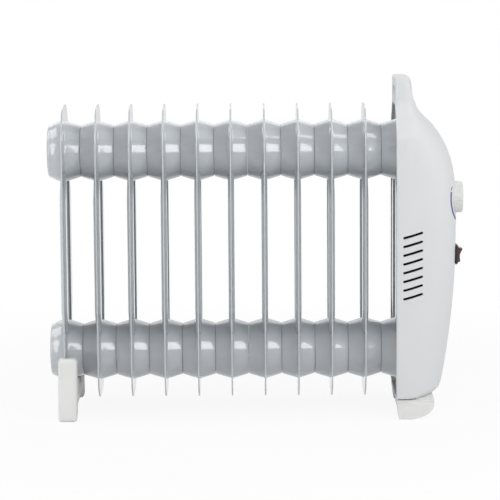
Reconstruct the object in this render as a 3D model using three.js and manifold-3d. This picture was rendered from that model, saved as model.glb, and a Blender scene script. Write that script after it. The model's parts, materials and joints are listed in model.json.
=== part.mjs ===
// An oil filled radiator heater: eleven hollow steel fins joined through two headers, a plastic
// control housing with a carrying handle at the +X end, and two plastic feet.
// Millimetres. +Z is up, +X points at the control housing, and the origin is on the floor under the middle.
import * as THREE from "three";
import { mergeVertices } from "three/addons/utils/BufferGeometryUtils.js";
import Module from "manifold-3d";

const wasm = await Module();
wasm.setup();

// Driving dimensions: the fin stack
const finCount = 11;
const finPitch = 36.2;
const finHeight = 318;
const finWidth = 112;
const finCorner = 40;
const flangeThickness = 1.6;
const sheetWall = 1;
const finFloorGap = 17.4; // the floor to the lowest edge of the fins
const headerSpacing = finHeight - 99;
const headerCrest = 32.4; // outer radius where a header meets its flange
const headerNeck = 27.2; // outer radius where two fins meet
const domeReach = 19; // how far the closed ends stand out from their fin's plane
const channelThickness = 6.2;
const channelInner = 21; // the channel's two edges, measured from the middle of the fin
const channelOuter = 50;
const channelSlope = 15; // length of the ramp where a channel runs into its header
const gap = 0.3; // between pieces that touch

// The control housing, measured from the last fin's plane
const housingWidth = 124;
const housingBottom = 20.4;
const housingTop = finFloorGap + finHeight + 29.6;
const housingDepth = 63.7;
const housingOverlap = 3.6; // how far its rim reaches back over the last fin
const housingWall = 2.4;
const housingCurveStart = 6; // where the flat sides turn into the curved front
const shoulderStart = housingTop - 63; // where the sides start to draw in towards the handle
const shoulderEnd = housingTop - 23;
const handleWidth = 70;
const gripBottom = housingTop - 25;
const gripTop = housingTop - 12;
const gripWidth = 50;
const cavityTop = gripBottom - housingWall;
const rearOpeningTop = housingTop - 39;

// Controls
const knobHeight = 233;
const knobRadius = 17.5;
const knobSeat = 59.2; // the flat floor that the knob turns on
const knobLength = 12;
const shaftRadius = 3;
const bushRadius = 4.6;
const nutRadius = 7.4;
const switchHeight = 170;
const switchCutout = { across: 13, tall: 19.4 };
const bezel = { across: 15.4, tall: 22, thick: 3 };
const rockerTilt = THREE.MathUtils.degToRad(10);

// Vents in both sides of the housing
const ventCount = 8;
const ventPitch = 9.5;
const ventLength = 22.4;
const ventSlot = 2.8;
const ventTilt = THREE.MathUtils.degToRad(14.5);
const ventTop = 199;
const ventStart = 14.3; // middle of the slots, from the last fin's plane

// Feet
const rearFoot = { length: 20.2, offset: 3.4, halfSpan: 76, legWidth: 17, arch: 13.2, top: 67 };
const frontFoot = { halfSpan: 70, flat: 12.4, length: 41, arch: 8, legWidth: 24 };

// Fastenings and the electric parts
const screwRadius = 1.6;
const screwHead = 3.2;
const plateThickness = 1.2;
const plateHalfWidth = 48;
const plateBottom = 27;
const plateTop = housingTop - 51;
const wing = { back: 4, front: 27, low: 116, high: 212 }; // folded from the plate to screen the vents
const elementRadius = 4;
const elementSpread = 9; // each leg of the hairpin from the header's axis
const elementLength = 322;
const spigotRadius = 14.5;
const flangeHex = 21;
const plugSpigot = 4.5;

// Places that follow from the sizes above
const stackLength = (finCount - 1) * finPitch;
const knobFace = knobSeat + 0.6 + knobLength;
const firstFin = domeReach - (domeReach + stackLength + knobFace) / 2;
const lastFin = firstFin + stackLength;
const lowHeader = finFloorGap + (finHeight - headerSpacing) / 2;
const highHeader = lowHeader + headerSpacing;

const finish = {
  enamel: { color: 0xa3a8a9, roughness: 0.28, metalness: 0.1 },
  housing: { color: 0xe3e4e6, roughness: 0.5, metalness: 0 },
  feet: { color: 0xe8e8e6, roughness: 0.5, metalness: 0 },
  knob: { color: 0xe6eae8, roughness: 0.45, metalness: 0 },
  steel: { color: 0xb4b7ba, roughness: 0.4, metalness: 1 },
  shield: { color: 0xc9ccce, roughness: 0.3, metalness: 1 },
  brass: { color: 0xc2a050, roughness: 0.35, metalness: 1 },
  black: { color: 0x17181a, roughness: 0.45, metalness: 0 },
  red: { color: 0x7a1410, roughness: 0.25, metalness: 0 },
  rubber: { color: 0x2a2b2c, roughness: 0.8, metalness: 0 },
  cream: { color: 0xd8d2c0, roughness: 0.5, metalness: 0 },
  blackSteel: { color: 0x1c1d1f, roughness: 0.6, metalness: 0.3 },
};

const heater = new THREE.Group();

// A closed geometry as a solid that can be joined and cut
function solid(geometry) {
  const bare = new THREE.BufferGeometry();
  const flat = geometry.index ? geometry.toNonIndexed() : geometry;
  bare.setAttribute("position", flat.getAttribute("position"));
  const merged = mergeVertices(bare, 1e-4);
  const mesh = new wasm.Mesh({
    numProp: 3,
    vertProperties: new Float32Array(merged.attributes.position.array),
    triVerts: new Uint32Array(merged.index.array),
  });
  return new wasm.Manifold(mesh);
}

// A solid, or a plain geometry, as a named mesh of the heater
function piece(name, shape, look, x = 0, y = 0, z = 0) {
  let geometry = shape;
  if (!shape.isBufferGeometry) {
    const mesh = shape.getMesh();
    geometry = new THREE.BufferGeometry();
    geometry.setAttribute("position", new THREE.BufferAttribute(mesh.vertProperties, 3));
    geometry.setIndex(new THREE.BufferAttribute(mesh.triVerts, 1));
    geometry.computeVertexNormals();
  }
  const part = new THREE.Mesh(geometry, new THREE.MeshStandardMaterial(finish[look]));
  part.name = name;
  part.position.set(x, y, z);
  heater.add(part);
  return part;
}

function block(x0, x1, y0, y1, z0, z1) {
  const box = new THREE.BoxGeometry(x1 - x0, y1 - y0, z1 - z0);
  return solid(box.translate((x0 + x1) / 2, (y0 + y1) / 2, (z0 + z1) / 2));
}

// A round bar along X, with its axis at y and z
function bar(x0, x1, radius, y, z, sides = 20) {
  const rod = new THREE.CylinderGeometry(radius, radius, x1 - x0, sides);
  return solid(rod.rotateZ(-Math.PI / 2).translate((x0 + x1) / 2, y, z));
}

function upright(z0, z1, radius, x, y, sides = 16) {
  const rod = new THREE.CylinderGeometry(radius, radius, z1 - z0, sides);
  return solid(rod.rotateX(Math.PI / 2).translate(x, y, (z0 + z1) / 2));
}

// A profile of [along X, radius] pairs turned about an axis along X
function turned(profile, y = 0, z = 0, sides = 14) {
  const points = profile.map(([along, radius]) => new THREE.Vector2(radius, along));
  const lathe = new THREE.LatheGeometry(points, sides);
  return solid(lathe.rotateZ(-Math.PI / 2).translate(0, y, z));
}

// An outline drawn in Y and Z, given its thickness along X
function plateFrom(shape, x0, x1, curveSegments = 8) {
  const slab = new THREE.ExtrudeGeometry(shape, { depth: x1 - x0, bevelEnabled: false, curveSegments });
  const turn = new THREE.Matrix4().makeBasis(
    new THREE.Vector3(0, 1, 0),
    new THREE.Vector3(0, 0, 1),
    new THREE.Vector3(1, 0, 0),
  );
  return solid(slab.applyMatrix4(turn).translate(x0, 0, 0));
}

// An outline drawn in X and Z, given its thickness along Y
function sideFrom(shape, y0, y1, curveSegments = 8) {
  const slab = new THREE.ExtrudeGeometry(shape, { depth: y1 - y0, bevelEnabled: false, curveSegments });
  return solid(slab.rotateX(Math.PI / 2).translate(0, y1, 0));
}

function roundedRect(halfWidth, low, high, corner) {
  const shape = new THREE.Shape();
  shape.moveTo(-halfWidth + corner, low);
  shape.lineTo(halfWidth - corner, low);
  shape.absarc(halfWidth - corner, low + corner, corner, -Math.PI / 2, 0);
  shape.absarc(halfWidth - corner, high - corner, corner, 0, Math.PI / 2);
  shape.absarc(-halfWidth + corner, high - corner, corner, Math.PI / 2, Math.PI);
  shape.absarc(-halfWidth + corner, low + corner, corner, Math.PI, 1.5 * Math.PI);
  return shape;
}

function joined(solids) {
  return solids.reduce((whole, next) => whole.add(next));
}

// The flange's outline, let out by a margin, at its real height
function flangeOutline(margin = 0) {
  const low = finFloorGap - margin;
  const high = finFloorGap + finHeight + margin;
  return roundedRect(finWidth / 2 + margin, low, high, finCorner + margin);
}

// One side of a header from its fin's plane outwards: a shallow barrel curve down to the neck
function headerProfile(inset) {
  const steps = inset ? 1 : 2;
  const reach = finPitch / 2 - gap / 2;
  const points = [];
  for (let i = 0; i <= steps; i++) {
    const t = i / steps;
    const radius = headerCrest - (headerCrest - headerNeck) * (0.62 * t + 0.38 * t * t);
    points.push([t * reach, radius - inset]);
  }
  return points;
}

// The closed end of a header: the same barrel, shorter, with a rounded shoulder and a flat face
function domeProfile(inset) {
  const shoulder = 3.4;
  const rim = headerNeck + 0.6;
  const points = [[0, headerCrest - inset]];
  points.push([(domeReach - shoulder) / 2, (headerCrest + rim) / 2 + 0.7 - inset]);
  points.push([domeReach - shoulder, rim - inset]);
  points.push([domeReach - 1.1 - inset, rim - 1.5 - inset]);
  points.push([domeReach - inset, rim - 4.4 - inset]);
  return points;
}

// A header across one fin, as the outer skin or, with an inset, as the space inside
function header(z, closedLow, closedHigh, inset) {
  const open = (points) => (inset ? points.concat([[points.at(-1)[0] + 1, points.at(-1)[1]]]) : points);
  const low = closedLow ? domeProfile(inset) : open(headerProfile(inset));
  const high = closedHigh ? domeProfile(inset) : open(headerProfile(inset));
  const profile = low
    .slice(1)
    .reverse()
    .map(([along, radius]) => [-along, radius])
    .concat(high);
  profile.unshift([profile[0][0], 0]);
  profile.push([profile.at(-1)[0], 0]);
  return turned(profile, 0, z);
}

// One of the two oil channels, which fans in to both headers
function channel(side, inset) {
  const inner = channelInner + inset;
  const outer = channelOuter - inset;
  const root = 19;
  const top = highHeader - root;
  const bottom = lowHeader + root;
  const ramp = headerCrest + channelSlope - root;
  const shape = new THREE.Shape();
  const corners = [
    [inner, bottom],
    [inner + 6, bottom],
    [outer, bottom + ramp],
    [outer, top - ramp],
    [inner + 6, top],
    [inner, top],
  ];
  shape.setFromPoints(corners.map(([y, z]) => new THREE.Vector2(y * side, z)));
  const half = channelThickness / 2 - inset;
  const lip = 1.4;
  const slab = new THREE.ExtrudeGeometry(shape, {
    depth: 2 * (half - lip),
    bevelThickness: lip,
    bevelSize: lip,
    bevelOffset: -lip,
    bevelSegments: 1,
  });
  const turn = new THREE.Matrix4().makeBasis(
    new THREE.Vector3(0, 1, 0),
    new THREE.Vector3(0, 0, 1),
    new THREE.Vector3(1, 0, 0),
  );
  return solid(slab.applyMatrix4(turn).translate(lip - half, 0, 0));
}

// The fins: pressed panels, each with its flange, two channels and its share of both headers
function makeFin(index) {
  const first = index === 1;
  const last = index === finCount;
  const flange = plateFrom(flangeOutline(), -flangeThickness / 2, flangeThickness / 2, 3);
  const skins = [flange];
  const hollows = [];
  for (const z of [lowHeader, highHeader]) {
    skins.push(header(z, first, last, 0));
    hollows.push(header(z, first, last, sheetWall));
  }
  for (const side of [-1, 1]) {
    skins.push(channel(side, 0));
    hollows.push(channel(side, sheetWall));
  }
  let fin = joined(skins).subtract(joined(hollows));
  if (last) {
    fin = fin.subtract(bar(0, domeReach + 1, spigotRadius + gap, 0, lowHeader));
    fin = fin.subtract(bar(0, domeReach + 1, plugSpigot + gap, 0, highHeader, 12));
  }
  const name = "fin_" + String(index).padStart(2, "0");
  piece(name, fin, "enamel", firstFin + (index - 1) * finPitch);
}

// The front of the housing at a height: how far it stands from the last fin's plane
const frontLine = new THREE.CatmullRomCurve3(
  [
    [41, housingBottom],
    [46.6, 25.5],
    [50.6, 42],
    [housingDepth - 7.1, 80],
    [housingDepth - 2.5, 122],
    [housingDepth, 165],
    [housingDepth, housingTop - 125],
    [housingDepth - 3.1, housingTop - 98],
    [housingDepth - 10.7, housingTop - 75],
    [40, housingTop - 54],
    [23, housingTop - 36],
    [18.6, gripBottom],
    [13.6, housingTop],
  ].map(([x, z]) => new THREE.Vector3(x, 0, z)),
  false,
  "centripetal",
);
const frontPoints = frontLine.getPoints(160);
const upperLevels = [103, 81, 63, 52, 43, 34, 25].map((down) => housingTop - down);
const housingLevels = [26, 46, 96, 150, 210, ...upperLevels];

function frontAt(z) {
  const above = frontPoints.findIndex((p) => p.z >= z);
  if (above <= 0) return above ? frontPoints.at(-1).x : frontPoints[0].x;
  const a = frontPoints[above - 1];
  const b = frontPoints[above];
  return a.x + ((b.x - a.x) * (z - a.z)) / (b.z - a.z);
}

function halfWidthAt(z) {
  const t = THREE.MathUtils.smoothstep(z, shoulderStart, shoulderEnd);
  return THREE.MathUtils.lerp(housingWidth, handleWidth, t) / 2;
}

// The housing's body between two heights, drawn in by an inset, with its flat back at a given plane
function housingBody(z0, z1, inset, rear) {
  const around = 22;
  const behind = 2;
  const inside = housingLevels.filter((z) => z > z0 + 1 && z < z1 - 1);
  const levels = [z0, ...inside, z1];
  const skin = new THREE.CylinderGeometry(1, 1, 1, around, levels.length - 1);
  const place = skin.getAttribute("position");
  for (let i = 0; i < place.count; i++) {
    const turn = Math.atan2(place.getX(i), place.getZ(i));
    const onAxis = Math.hypot(place.getX(i), place.getZ(i)) < 0.5;
    const z = levels[Math.round((place.getY(i) + 0.5) * (levels.length - 1))];
    const half = halfWidthAt(z) - inset;
    const reach = frontAt(z) - inset;
    const start = Math.min(housingCurveStart, reach / 3);
    const power = THREE.MathUtils.mapLinear(half, housingWidth / 2, handleWidth / 2, 1.75, 3);
    const step = Math.round(((turn + Math.PI) / (2 * Math.PI)) * around) % around;
    let x = rear;
    let y = half * (1 - (2 * step) / behind);
    if (step > behind) {
      const sweep = (Math.PI * (step - behind)) / (around - behind) - Math.PI / 2;
      y = half * Math.sign(Math.sin(sweep)) * Math.abs(Math.sin(sweep)) ** (2 / power);
      x = start + (reach - start) * Math.cos(sweep) ** (2 / power);
    }
    if (onAxis) place.setXYZ(i, start, 0, z);
    else place.setXYZ(i, x, y, z);
  }
  return solid(skin);
}

// The side of the housing at a height, where a slot or a gland goes through it
function sideCut(shape, side, curveSegments = 2) {
  const inside = housingWidth / 2 - 16;
  const outside = housingWidth / 2 + 4;
  const [y0, y1] = side > 0 ? [inside, outside] : [-outside, -inside];
  return sideFrom(shape, y0, y1, curveSegments);
}

function slotShape(x, z, length, thick, tilt) {
  const end = length / 2 - thick / 2;
  const shape = new THREE.Shape();
  const along = new THREE.Vector2(Math.cos(tilt), Math.sin(tilt));
  shape.absarc(x + along.x * end, z + along.y * end, thick / 2, tilt - Math.PI / 2, tilt + Math.PI / 2);
  shape.absarc(x - along.x * end, z - along.y * end, thick / 2, tilt + Math.PI / 2, tilt + 1.5 * Math.PI);
  return shape;
}

const vents = [];
for (const side of [-1, 1]) {
  for (let i = 0; i < ventCount; i++) {
    const shape = slotShape(ventStart, ventTop - i * ventPitch, ventLength, ventSlot, ventTilt);
    vents.push({ shape, side });
  }
}

// Where the housing is screwed to its plate, and the foot to the housing
const plateScrews = [
  [-36, 40],
  [36, 40],
  [-30, plateTop - 14],
  [30, plateTop - 14],
];
const footScrews = [-50, 50];
const footScrewPlace = 12;
const plateFront = domeReach + gap + plateThickness;
const glandPlace = { x: 14, z: 48 };
const glandBarrel = 6.6;

// The fin's edge with room round it, for the housing and the feet that reach past it
function finRoom(x0, x1, margin) {
  return plateFrom(flangeOutline(margin), x0, x1, 3);
}

function makeHousing() {
  const outer = housingBody(housingBottom, housingTop, 0, -housingOverlap);
  const floor = housingBottom + housingWall;
  const inner = housingBody(floor, cavityTop, housingWall, housingWall - housingOverlap);
  const behind = housingBody(floor, rearOpeningTop, housingWall, -housingOverlap - 1);
  const behindCut = behind.intersect(block(-housingOverlap - 2, 0, -99, 99, 0, housingTop));
  let shell = outer.subtract(inner).subtract(behindCut);

  const posts = plateScrews.map(([y, z]) => bar(plateFront + gap, housingDepth, 4.2, y, z, 12));
  for (const y of footScrews) {
    posts.push(upright(housingBottom, housingBottom + 15, 4.2, footScrewPlace, y, 12));
  }
  posts.push(bar(knobSeat - housingWall, housingDepth, knobRadius + 2.6, 0, knobHeight, 28));
  const pad = bezel.across / 2 + 2.2;
  const padTall = bezel.tall / 2 + 2.2;
  const padLow = switchHeight - padTall;
  const padHigh = switchHeight + padTall;
  posts.push(block(housingDepth - 7, housingDepth, -pad, pad, padLow, padHigh));
  shell = shell.add(joined(posts).intersect(outer));

  const cuts = plateScrews.map(([y, z]) => bar(0, plateFront + 7, screwRadius + gap, y, z, 12));
  for (const y of footScrews) {
    cuts.push(upright(0, housingBottom + 13, screwRadius + gap, footScrewPlace, y, 12));
  }
  cuts.push(bar(knobSeat, housingDepth + 9, knobRadius + 1, 0, knobHeight, 28));
  cuts.push(bar(knobSeat - 9, knobSeat + 1, bushRadius + gap, 0, knobHeight, 16));
  const half = switchCutout.across / 2;
  const tall = switchCutout.tall / 2;
  const front = housingDepth + 9;
  cuts.push(block(housingDepth - 20, front, -half, half, switchHeight - tall, switchHeight + tall));
  cuts.push(block(housingDepth, front, -pad, pad, padLow, padHigh));
  const grip = roundedRect(gripWidth / 2, gripBottom, gripTop, 6);
  cuts.push(plateFrom(grip, -housingOverlap - 5, housingDepth, 3));
  const glandHole = 2 * (glandBarrel + gap);
  cuts.push(sideCut(slotShape(glandPlace.x, glandPlace.z, glandHole, glandHole, 0), 1, 5));
  for (const vent of vents) cuts.push(sideCut(vent.shape, vent.side));
  cuts.push(finRoom(-housingOverlap - 5, flangeThickness / 2 + 0.5, 0.5));
  return shell.subtract(joined(cuts));
}

// The plate that carries the housing, held against the last fin's two closed ends
function makePlate() {
  const outline = roundedRect(plateHalfWidth, plateBottom, plateTop, 22);
  let plate = plateFrom(outline, domeReach + gap, plateFront, 4);
  plate = plate.subtract(bar(0, 99, spigotRadius + gap, 0, lowHeader, 20));
  plate = plate.subtract(bar(0, 99, plugSpigot + gap, 0, highHeader, 12));
  for (const [y, z] of plateScrews) plate = plate.subtract(bar(0, 99, screwRadius + gap, y, z, 12));
  for (const side of [-1, 1]) {
    const edges = [side * plateHalfWidth, side * (plateHalfWidth - plateThickness)].sort((a, b) => a - b);
    plate = plate.add(block(wing.back, wing.front, edges[0], edges[1], wing.low, wing.high));
  }
  return plate;
}

function panScrew(name, y, z) {
  const plateRear = domeReach + gap;
  const head = bar(plateRear - gap - 2, plateRear - gap, screwHead, y, z, 12);
  const shank = bar(plateRear - gap - 1, plateFront + 6, screwRadius, y, z, 10);
  piece(name, head.add(shank), "steel", lastFin);
}

piece("control_housing", makeHousing(), "housing", lastFin);
piece("mounting_plate", makePlate(), "blackSteel", lastFin);
plateScrews.forEach(([y, z], i) => panScrew("housing_screw_" + (i + 1), y, z));
for (let index = 1; index <= finCount; index++) makeFin(index);

// The heating element: a hairpin in the lower header, its hexagonal flange, gasket and two tabs
const gasketThickness = 1.4;
const flangeStart = plateFront + gap + gasketThickness + gap;
const flangeEnd = flangeStart + 7;
const tabStart = flangeEnd + 6;

// The hairpin's route: out along one side, round the bend, and back
function elementRoute() {
  const bendStart = tabStart - gap - elementLength;
  const at = (x, y) => new THREE.Vector3(x, y, lowHeader);
  const points = [at(tabStart - gap, -elementSpread)];
  const bendSteps = 8;
  for (let i = 0; i <= bendSteps; i++) {
    const turn = (Math.PI * i) / bendSteps;
    points.push(at(bendStart - elementSpread * Math.sin(turn), -elementSpread * Math.cos(turn)));
  }
  points.push(at(tabStart - gap, elementSpread));
  return points;
}

// A round tube through points, with a ring of vertices square to the route at each point
function tube(points, radius, sides) {
  class Route extends THREE.Curve {
    getPoint(t) {
      const place = t * (points.length - 1);
      const low = Math.min(Math.floor(place), points.length - 2);
      return points[low].clone().lerp(points[low + 1], place - low);
    }
    getPointAt(t) {
      return this.getPoint(t);
    }
    getTangentAt(t) {
      const place = Math.round(t * (points.length - 1));
      const before = points[Math.max(place - 1, 0)];
      const after = points[Math.min(place + 1, points.length - 1)];
      return after.clone().sub(before).normalize();
    }
  }
  const section = new THREE.Shape();
  section.absarc(0, 0, radius, 0, 2 * Math.PI);
  return new THREE.ExtrudeGeometry(section, {
    steps: points.length - 1,
    extrudePath: new Route(),
    curveSegments: sides,
  });
}

piece("heating_element", solid(tube(elementRoute(), elementRadius, 10)), "steel", lastFin);

const hexagon = bar(flangeStart, flangeEnd, flangeHex, 0, lowHeader, 6);
const spigot = bar(domeReach - 6, flangeStart + 1, spigotRadius, 0, lowHeader, 20);
const legRoom = [-1, 1].map((side) => bar(0, 60, elementRadius + gap, side * elementSpread, lowHeader, 12));
piece("element_flange", hexagon.add(spigot).subtract(joined(legRoom)), "brass", lastFin);
const gasket = bar(plateFront + gap, plateFront + gap + gasketThickness, 19, 0, lowHeader, 20);
piece("flange_gasket", gasket.subtract(bar(0, 60, spigotRadius + gap, 0, lowHeader, 20)), "rubber", lastFin);
for (const side of [-1, 1]) {
  const y = side * elementSpread;
  const tab = block(tabStart, tabStart + 9, y - 0.4, y + 0.4, lowHeader - 3.1, lowHeader + 3.1);
  piece(side < 0 ? "element_tab_live" : "element_tab_neutral", tab, "steel", lastFin);
}

// The oil filler plug, which also holds the plate's top
const plugHead = bar(plateFront + gap, plateFront + 6, 9, 0, highHeader, 6);
const plugShank = bar(domeReach - 5, plateFront + 1, plugSpigot, 0, highHeader, 12);
piece("filler_plug", plugHead.add(plugShank), "brass", lastFin);

// The bright shield between the hot end and the electric parts: a shallow tray open towards the plate
const shieldStart = flangeEnd + 1;
function makeShield() {
  const low = 112;
  const high = 274;
  const half = 34;
  const metal = 0.8;
  const shell = block(plateFront + gap, shieldStart + metal, -half, half, low, high);
  const inside = half - metal;
  return shell.subtract(block(plateFront, shieldStart, -inside, inside, low + metal, high - metal));
}

piece("heat_shield", makeShield(), "shield", lastFin);

// The thermal cut-out: a small sealed disc held on the plate just above the hot header
const cutout = { y: -24, z: 103.5, radius: 6.5, thick: 6.5 };
const cutoutStart = plateFront + gap;
const cutoutDisc = bar(cutoutStart, cutoutStart + cutout.thick, cutout.radius, cutout.y, cutout.z, 16);
const cutoutTabs = [-1, 1].map((side) => {
  const y = cutout.y + side * 5;
  const start = cutoutStart + cutout.thick;
  return block(start - 1, start + 6, y - 0.5, y + 0.5, cutout.z - 2.4, cutout.z + 2.4);
});
piece("thermal_cutout", cutoutDisc.add(joined(cutoutTabs)), "black", lastFin);

// The thermostat behind the knob: a case, a threaded bush through the housing, a nut and a shaft
const bushEnd = knobSeat + 4;
const thermostatFace = knobSeat - housingWall - gap;
const thermostat = { deep: 17, half: 14, tall: 17 };
function makeThermostat() {
  const back = thermostatFace - thermostat.deep;
  const low = knobHeight - thermostat.tall;
  const body = block(back, thermostatFace, -thermostat.half, thermostat.half, low, low + 2 * thermostat.tall);
  const bush = bar(thermostatFace - 1, bushEnd, bushRadius, 0, knobHeight, 16);
  const tabs = [-8, 8].map((y) => {
    return block(back - 6, back + 1, y - 0.5, y + 0.5, knobHeight - 3, knobHeight + 3);
  });
  const bore = bar(back + 3, bushEnd + 1, shaftRadius + gap, 0, knobHeight, 16);
  return body.add(bush).add(joined(tabs)).subtract(bore);
}

const nut = bar(knobSeat + gap, knobSeat + 3.2, nutRadius, 0, knobHeight, 6);
piece("thermostat", makeThermostat(), "cream", lastFin);
const nutBore = bar(knobSeat - 1, knobSeat + 9, bushRadius + gap, 0, knobHeight, 16);
piece("thermostat_nut", nut.subtract(nutBore), "steel", lastFin);

// The knob: a hollow cap with a hub that grips the shaft
const knobStart = knobSeat + 0.6;
const knobWall = 2.2;
const hubRadius = 5.6;
const hubStart = bushEnd + 0.6;
const shaftEnd = knobFace - knobWall - 0.6;
function makeKnob() {
  const profile = [
    [knobStart, knobRadius - knobWall],
    [knobStart, knobRadius],
    [knobFace - 2, knobRadius - 0.9],
    [knobFace - 0.5, knobRadius - 1.8],
    [knobFace, knobRadius - 3.4],
    [knobFace, 0],
    [knobFace - knobWall, 0],
    [knobFace - knobWall, knobRadius - knobWall - 0.9],
  ];
  const points = profile.concat([profile[0]]);
  const cap = turned(points, 0, knobHeight, 24);
  const hub = bar(hubStart, knobFace - 1, hubRadius, 0, knobHeight, 16);
  return cap.add(hub).subtract(bar(hubStart - 1, shaftEnd + gap, shaftRadius + gap, 0, knobHeight, 16));
}

piece("temperature_knob", makeKnob(), "knob", lastFin);
const shaft = bar(thermostatFace - thermostat.deep + 3 + gap, shaftEnd, shaftRadius, 0, knobHeight, 12);
piece("thermostat_shaft", shaft, "brass", lastFin);

// The rocker switch: a snap-in body with its bezel and three tabs, and the tilting rocker
const bezelStart = housingDepth + gap;
const bezelEnd = bezelStart + bezel.thick;
const rockerPivot = bezelStart + 0.9;
const rockerHalf = 7.9; // from the pivot to each end
const rockerWidth = 9.6;
function makeSwitch() {
  const half = bezel.across / 2;
  const tall = bezel.tall / 2;
  const rim = block(bezelStart, bezelEnd, -half, half, switchHeight - tall, switchHeight + tall);
  const bodyHalf = switchCutout.across / 2 - gap;
  const bodyTall = switchCutout.tall / 2 - gap;
  const back = bezelStart - 19;
  const bodyLow = switchHeight - bodyTall;
  const body = block(back, bezelStart + 1, -bodyHalf, bodyHalf, bodyLow, bodyLow + 2 * bodyTall);
  const tabs = [-7, 0, 7].map((along) => {
    const z = switchHeight + along;
    return block(back - 7, back + 1, -2.4, 2.4, z - 0.4, z + 0.4);
  });
  const wellTall = rockerHalf + 0.5;
  const wellHalf = rockerWidth / 2 + 0.4;
  const wellBack = rockerPivot - rockerHalf - 0.8;
  const wellLow = switchHeight - wellTall;
  const well = block(wellBack, bezelEnd + 1, -wellHalf, wellHalf, wellLow, wellLow + 2 * wellTall);
  return rim.add(body).add(joined(tabs)).subtract(well);
}

// The rocker's outline in X and Z about its pivot: a round belly and a shallow V in front
function makeRocker() {
  const shape = new THREE.Shape();
  const crown = 5.6;
  const dip = 3.9;
  shape.absarc(0, 0, rockerHalf, Math.PI / 2, 1.5 * Math.PI);
  shape.lineTo(crown, -rockerHalf + 0.4);
  shape.lineTo(dip, 0);
  shape.lineTo(crown, rockerHalf - 0.4);
  return sideFrom(shape, -rockerWidth / 2, rockerWidth / 2, 10);
}

piece("switch_body", makeSwitch(), "black", lastFin);
const rocker = piece("rocker", makeRocker(), "red", lastFin + rockerPivot, 0, switchHeight);
rocker.rotation.y = rockerTilt;

// The terminal block on the plate, and the gland where a cord would enter
const blockPlace = { y: 20, z: 96 };
function makeTerminalBlock() {
  const back = plateFront + gap;
  const y0 = blockPlace.y - 1;
  const y1 = blockPlace.y + 17;
  const body = block(back, back + 13, y0, y1, blockPlace.z - 8, blockPlace.z + 8);
  const bores = [4.5, 12.5].map((y) => upright(0, 300, 1.9, back + 6.5, y0 + y, 10));
  const posts = [4.5, 12.5].map((y) => bar(back + 6.5, back + 15, 1.6, y0 + y, blockPlace.z, 10));
  return body.subtract(joined(bores)).subtract(joined(posts));
}

function makeGland() {
  const side = housingWidth / 2;
  const profile = [
    [side - 7, 3.8],
    [side - 7, glandBarrel],
    [side + gap, glandBarrel],
    [side + gap, glandBarrel + 2.6],
    [side + 2.4, glandBarrel + 2.2],
    [side + 3.4, glandBarrel],
    [side + 3.4, 3.8],
    [side - 7, 3.8],
  ];
  const points = profile.map(([along, radius]) => new THREE.Vector2(radius, along));
  return solid(new THREE.LatheGeometry(points, 20).translate(glandPlace.x, 0, glandPlace.z));
}

piece("terminal_block", makeTerminalBlock(), "cream", lastFin);
piece("cord_gland", makeGland(), "black", lastFin);

// The rear foot: a saddle whose slot takes the first fin's lower edge, with a pocket in its inner side
function rearFootOutline(inset) {
  const { halfSpan, legWidth, arch, top } = rearFoot;
  const shape = new THREE.Shape();
  const cradle = headerCrest + 3.4;
  const outline = [
    [halfSpan - inset, inset],
    [halfSpan - 5 - inset, 26],
    [66 - inset, 46],
    [63.4 - inset, top - 4 - inset],
    [60 - inset, top - inset],
    [51 + inset, top - inset],
    [47 + inset, top - 5 - inset],
    [44 + inset, 44],
  ];
  const points = outline.map(([y, z]) => new THREE.Vector2(y, z));
  const arcSteps = 6;
  const sweep = 0.85;
  for (let i = 0; i <= arcSteps; i++) {
    const turn = sweep * (1 - (2 * i) / arcSteps);
    const radius = cradle + inset;
    points.push(new THREE.Vector2(radius * Math.sin(turn), lowHeader - radius * Math.cos(turn)));
  }
  points.push(...outline.map(([y, z]) => new THREE.Vector2(-y, z)).reverse());
  const foot = halfSpan - legWidth;
  points.push(new THREE.Vector2(-foot + inset, inset));
  points.push(new THREE.Vector2(-foot + 7 + inset, arch + inset));
  points.push(new THREE.Vector2(foot - 7 - inset, arch + inset));
  points.push(new THREE.Vector2(foot - inset, inset));
  shape.setFromPoints(points);
  return shape;
}

function makeRearFoot() {
  const x0 = rearFoot.offset - rearFoot.length / 2;
  const x1 = rearFoot.offset + rearFoot.length / 2;
  const lip = 2;
  let foot = plateFrom(rearFootOutline(0), x0 + lip, x1 - lip, 4);
  foot = foot.add(plateFrom(rearFootOutline(lip), x0, x1, 4));
  const fin = finRoom(-flangeThickness / 2 - 0.4, flangeThickness / 2 + 0.4, 0.5);
  return foot.subtract(fin);
}

piece("rear_foot", makeRearFoot(), "feet", firstFin);

// The front foot: a rocker-shaped bar under the housing, raised between its two pads
const footTop = housingBottom - gap;
function frontFootSide() {
  const shape = new THREE.Shape();
  shape.moveTo(-housingOverlap + 0.4, footTop);
  shape.lineTo(-0.8, 0);
  shape.lineTo(frontFoot.flat, 0);
  shape.quadraticCurveTo(frontFoot.length - 10, 3.4, frontFoot.length - 4.4, 12.6);
  shape.lineTo(frontFoot.length - 3.4, footTop);
  return shape;
}

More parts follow.
